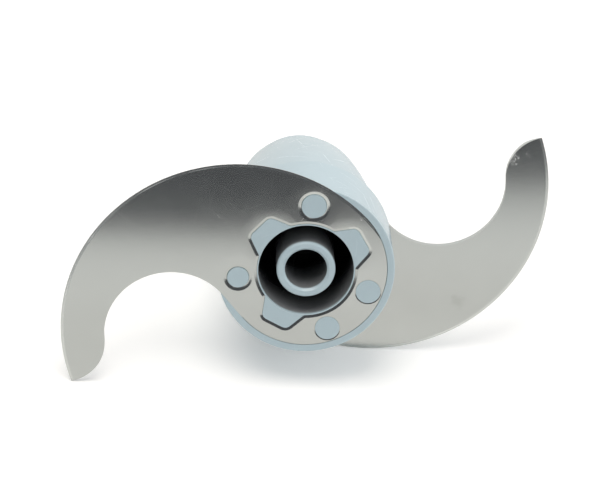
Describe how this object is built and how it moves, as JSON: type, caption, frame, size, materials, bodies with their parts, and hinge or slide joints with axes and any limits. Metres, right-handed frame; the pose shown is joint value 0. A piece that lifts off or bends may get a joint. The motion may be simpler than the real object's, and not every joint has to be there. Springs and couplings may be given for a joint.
{
  "type": "food processor blade",
  "caption": "S-shaped food processor blade: a tapered plastic hub with a drive sleeve, and curved ground knives moulded in at different heights.",
  "frame": {"origin": "on the axis of the drive bore, in the plane of the underside", "axes": "+Z along the hub from the open underside to the closed far end; +X along the longest reach, from the lower knife to the upper one"},
  "size_m": [0.1567, 0.0737, 0.076],
  "materials": {
    "hub_plastic": "smooth satin moulding, light blue-grey",
    "knife_steel": "fine satin stainless steel with a ground edge"
  },
  "bodies": {
    "root": {"hub": "hub_plastic", "lower_blade": "knife_steel", "upper_blade": "knife_steel"}
  },
  "joints": []
}
